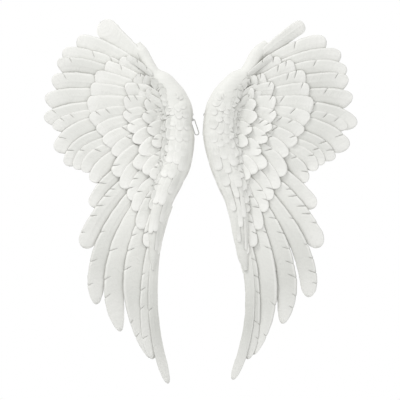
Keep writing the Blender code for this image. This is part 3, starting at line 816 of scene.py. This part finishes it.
def paintedResin():
    made, tree, shader = newMaterial("painted_resin")
    link = tree.links.new
    places = node(tree, "ShaderNodeTexCoord").outputs["Object"]
    vane = node(tree, "ShaderNodeAttribute", attribute_name="vane").outputs["Vector"]
    wash = node(tree, "ShaderNodeAttribute", attribute_name="wash").outputs["Fac"]
    recess = node(tree, "ShaderNodeAmbientOcclusion", only_local=True, samples=8)
    recess.inputs["Distance"].default_value = resinLook["recessReach"] * mm
    deep = sums(tree, "SUBTRACT", 1.0, recess.outputs["AO"])
    valley = node(tree, "ShaderNodeAmbientOcclusion", only_local=True, samples=8)
    valley.inputs["Distance"].default_value = resinLook["hollowReach"] * mm
    # painted shade: the paint darkens where the wide occlusion finds a hollow
    sunk = node(tree, "ShaderNodeMapRange")
    sunk.inputs["From Min"].default_value = 0.80
    sunk.inputs["From Max"].default_value = 0.35
    link(valley.outputs["AO"], sunk.inputs["Value"])
    mottle = node(tree, "ShaderNodeTexNoise", Scale=55.0, Detail=4.0)
    link(places, mottle.inputs["Vector"])
    deep = sums(tree, "MULTIPLY", deep, sums(tree, "MULTIPLY_ADD", mottle.outputs["Fac"], 1.3, 0.5))
    settled = node(tree, "ShaderNodeMapRange")
    settled.inputs["From Min"].default_value = resinLook["washFrom"]
    settled.inputs["From Max"].default_value = resinLook["washFull"]
    settled.interpolation_type = "SMOOTHSTEP"
    link(deep, settled.inputs["Value"])
    inRecess = sums(tree, "MULTIPLY", settled.outputs["Result"], resinLook["washShare"])
    grime = sums(tree, "MAXIMUM", inRecess, wash)
    broad = node(tree, "ShaderNodeTexNoise", Scale=9.0, Detail=3.0)
    link(places, broad.inputs["Vector"])
    ending = node(tree, "ShaderNodeAttribute", attribute_name="ending").outputs["Fac"]
    height = node(tree, "ShaderNodeSeparateXYZ")
    link(places, height.inputs[0])
    lower = node(tree, "ShaderNodeMapRange")
    lower.inputs["From Min"].default_value = -0.17
    lower.inputs["From Max"].default_value = -0.44
    link(height.outputs["Z"], lower.inputs["Value"])
    # the darkening: painted shade toward the lower and outer tips and in the hollows, with dust in broad
    # patches and from feather to feather
    dustAndShade = sums(tree, "MULTIPLY_ADD", lower.outputs["Result"], resinLook["lowShade"],
                sums(tree, "MULTIPLY", broad.outputs["Fac"], resinLook["broadDust"]))
    dustAndShade = sums(tree, "MULTIPLY_ADD", sunk.outputs["Result"], resinLook["hollowShade"], dustAndShade)
    far = node(tree, "ShaderNodeMapRange")
    far.inputs["From Min"].default_value = 0.11
    far.inputs["From Max"].default_value = 0.24
    link(sums(tree, "ABSOLUTE", height.outputs["X"], 0.0), far.inputs["Value"])
    dustAndShade = sums(tree, "MULTIPLY_ADD", far.outputs["Result"], resinLook["farShade"], dustAndShade)
    own = node(tree, "ShaderNodeSeparateXYZ")
    link(vane, own.inputs[0])
    tint = node(tree, "ShaderNodeTexWhiteNoise", noise_dimensions="1D")
    link(own.outputs["Z"], tint.inputs["W"])
    dustAndShade = sums(tree, "MULTIPLY_ADD", tint.outputs["Value"], resinLook["ownDust"], dustAndShade)
    # the rows' own darkening, dust and painted shade in the hollow
    laid = node(tree, "ShaderNodeAttribute", attribute_name="dustAndShade").outputs["Fac"]
    dustAndShade = sums(tree, "ADD", laid, dustAndShade)
    front = node(tree, "ShaderNodeAttribute", attribute_name="front").outputs["Fac"]  # the back is plain
    dustAndShade = sums(tree, "MULTIPLY", dustAndShade, front)
    # the paint turns toward the shade colour with dust and painted shade
    body = blend(tree, dustAndShade, resinLook["paint"], resinLook["shade"])
    body = blend(tree, sums(tree, "MULTIPLY", ending, resinLook["brushed"]), body, resinLook["lifted"])
    link(blend(tree, grime, body, resinLook["wash"]), shader.inputs["Base Color"])
    # brushed-on paint: fine streaks along the vane over a soft pitted cast
    grooves = []
    for scale in ((760, 45, 3), (210, 40, 3)):  # fine barbs and the broader furrows between them
        stretch = node(tree, "ShaderNodeMapping")
        stretch.inputs["Scale"].default_value = scale
        link(vane, stretch.inputs["Vector"])
        grain = node(tree, "ShaderNodeTexNoise", Scale=1.0, Detail=2.0)
        link(stretch.outputs[0], grain.inputs["Vector"])
        grooves.append(grain.outputs["Fac"])
    pits = node(tree, "ShaderNodeTexNoise", Scale=420.0, Detail=2.0)
    link(places, pits.inputs["Vector"])
    surface = sums(tree, "MULTIPLY_ADD", pits.outputs["Fac"], 0.3,
                   sums(tree, "MULTIPLY_ADD", grooves[1], 1.8, sums(tree, "MULTIPLY", grooves[0], 0.5)))
    bump = node(tree, "ShaderNodeBump", Strength=0.5, Distance=0.0009)
    link(surface, bump.inputs["Height"])
    link(bump.outputs[0], shader.inputs["Normal"])
    rough = sums(tree, "MULTIPLY_ADD", mottle.outputs["Fac"], 0.16, resinLook["roughness"] - 0.08)
    link(rough, shader.inputs["Roughness"])
    shader.inputs["Specular IOR Level"].default_value = 0.4
    return made


metals = {  # scratch is how fine the lines are along each axis
    "strap": {"name": "stamped_steel", "colour": (0.58, 0.58, 0.57), "roughness": 0.38,
              "scratch": (3000, 3000, 120)},
    "loop": {"name": "drawn_wire", "colour": (0.70, 0.70, 0.68), "roughness": 0.42,
             "scratch": (2500, 2500, 300)},
    "screw": {"name": "zinc_plate", "colour": (0.64, 0.64, 0.61), "roughness": 0.36,
              "scratch": (900, 900, 900)},
}


def drawnMetal(name, colour, roughness, scratch):
    made, tree, shader = newMaterial(name)
    link = tree.links.new
    places = node(tree, "ShaderNodeTexCoord").outputs["Object"]
    stretch = node(tree, "ShaderNodeMapping")
    stretch.inputs["Scale"].default_value = scratch
    link(places, stretch.inputs["Vector"])
    lines = node(tree, "ShaderNodeTexNoise", Scale=1.0, Detail=4.0)
    link(stretch.outputs[0], lines.inputs["Vector"])
    patches = node(tree, "ShaderNodeTexNoise", Scale=240.0, Detail=3.0)
    link(places, patches.inputs["Vector"])
    dull = tuple(c * 0.72 for c in colour) + (1,)
    link(blend(tree, patches.outputs["Fac"], (*colour, 1), dull), shader.inputs["Base Color"])
    link(sums(tree, "MULTIPLY_ADD", lines.outputs["Fac"], 0.25, roughness - 0.1),
         shader.inputs["Roughness"])
    bump = node(tree, "ShaderNodeBump", Strength=0.2, Distance=0.0001)
    link(lines.outputs["Fac"], bump.inputs["Height"])
    link(bump.outputs[0], shader.inputs["Normal"])
    shader.inputs["Metallic"].default_value = 1.0
    return made


feltLook = {"light": (0.80, 0.79, 0.76, 1), "dark": (0.62, 0.61, 0.58, 1), "roughness": 0.95,
            "sheen": 0.3}


def pressedFelt():
    made, tree, shader = newMaterial("pressed_felt")
    link = tree.links.new
    places = node(tree, "ShaderNodeTexCoord").outputs["Object"]
    fibres = node(tree, "ShaderNodeTexNoise", Scale=1500.0, Detail=5.0)
    link(places, fibres.inputs["Vector"])
    link(blend(tree, fibres.outputs["Fac"], feltLook["light"], feltLook["dark"]),
         shader.inputs["Base Color"])
    bump = node(tree, "ShaderNodeBump", Strength=0.6, Distance=0.0003)
    link(fibres.outputs["Fac"], bump.inputs["Height"])
    link(bump.outputs[0], shader.inputs["Normal"])
    shader.inputs["Roughness"].default_value = feltLook["roughness"]
    shader.inputs["Sheen Weight"].default_value = feltLook["sheen"]
    return made


resin = paintedResin()
hardware = {ending: drawnMetal(**look) for ending, look in metals.items()}
hardware["pad"] = pressedFelt()
print("finishes made")

# castings
tree = vaneTree()
for label, side in (("left", -1), ("right", 1)):
    back = flatBack(label)
    meshes, laid = [limbMesh(side, back, resin)], 1
    body = bpy.data.objects.new(label + "_limb", meshes[0])
    bpy.context.collection.objects.link(body)
    small = (  # their feathers have their own levels, and the last two their own darkening, dust and painted shade
        {"feathers": crowd(side), "slope": 1.6, "cells": 2, "nicks": 0.4, "dustAndShade": hollowShading(side)},
        {"feathers": fringe(side), "slope": -3.6, "cells": 3, "nicks": 0.5},
        {"feathers": scales(side), "slope": 0.5, "cells": 3, "nicks": 0.6, "drape": 1.0},
    )
    for number, row in enumerate(rows + small):
        seed = 11 + number + (40 if side > 0 else 0)
        holder = layRow(f"{label}_row{number}", side, row, back, tree, resin, seed, laid, body)
        laid += len(row["feathers"])
        meshes.append(plainMesh(holder))
    bpy.data.objects.remove(body)
    piece = joinMeshes(f"{label}_casting_relief", meshes)
    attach(piece, label + "_wing")
    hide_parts(label + "_casting")
    print(piece.name, sum(len(p.vertices) - 2 for p in piece.data.polygons), "triangles")

for name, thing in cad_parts.items():
    for ending, finish in hardware.items():
        if name.endswith(ending):
            thing.data.materials.clear()
            thing.data.materials.append(finish)
print("hardware finished")

# stage, light and camera
stage = {"floorDrop": 0.12, "floorSize": 2.2, "floorColour": (0.86, 0.86, 0.86, 1),
         "distance": 4.0, "viewWidth": 0.623, "viewHeight": -0.147, "sensor": 36}
lights = (
    {"name": "key", "place": (-1.3, -1.3, 1.9), "aim": (0, 0, -0.12), "size": 0.8, "power": 30},
    {"name": "fill", "place": (1.9, -2.0, 0.3), "aim": (0, 0, -0.15), "size": 1.6, "power": 6},
)
studio = {"from": -0.2, "to": 0.6, "front": 0.78}  # the world is dimmer in front of the wings
shape = bmesh.new()
bmesh.ops.create_grid(shape, x_segments=1, y_segments=1, size=stage["floorSize"] / 2,
                      matrix=Matrix.Translation((0, 0, cadBox[0][2] - stage["floorDrop"])))
floorMesh = bpy.data.meshes.new("floor")
shape.to_mesh(floorMesh)
shape.free()
floor = bpy.data.objects.new("floor", floorMesh)
bpy.context.collection.objects.link(floor)
floorFinish, _, floorShader = newMaterial("pale_floor")
floorShader.inputs["Base Color"].default_value = stage["floorColour"]
floorShader.inputs["Roughness"].default_value = 0.8
floorMesh.materials.append(floorFinish)


def softLight(name, place, aim, size, power):
    lamp = bpy.data.lights.new(name, "AREA")
    lamp.shape, lamp.size, lamp.energy = "DISK", size, power
    holder = bpy.data.objects.new(name, lamp)
    holder.location = place
    holder.rotation_euler = (Vector(aim) - Vector(place)).to_track_quat("-Z", "Y").to_euler()
    bpy.context.collection.objects.link(holder)


for light in lights:
    softLight(**light)
world = bpy.data.worlds.new("studio")
world.use_nodes = True
sky = world.node_tree
heading = node(sky, "ShaderNodeSeparateXYZ")
sky.links.new(node(sky, "ShaderNodeTexCoord").outputs["Generated"], heading.inputs[0])
behind = node(sky, "ShaderNodeMapRange")
behind.inputs["From Min"].default_value = studio["from"]
behind.inputs["From Max"].default_value = studio["to"]
behind.inputs["To Min"].default_value = studio["front"]
sky.links.new(heading.outputs["Y"], behind.inputs["Value"])
sky.links.new(behind.outputs["Result"], sky.nodes["Background"].inputs["Strength"])
sky.nodes["Background"].inputs["Color"].default_value = (1, 1, 1, 1)
bpy.context.scene.world = world
bpy.context.scene.view_settings.view_transform = "Standard"

lens = bpy.data.cameras.new("camera")
lens.sensor_width = stage["sensor"]
lens.lens = stage["sensor"] * stage["distance"] / stage["viewWidth"]
camera = bpy.data.objects.new("camera", lens)
camera.location = (0, -stage["distance"], stage["viewHeight"])
camera.rotation_euler = (math.pi / 2, 0, 0)
bpy.context.collection.objects.link(camera)
bpy.context.scene.camera = camera
print("stage, lights and camera set")
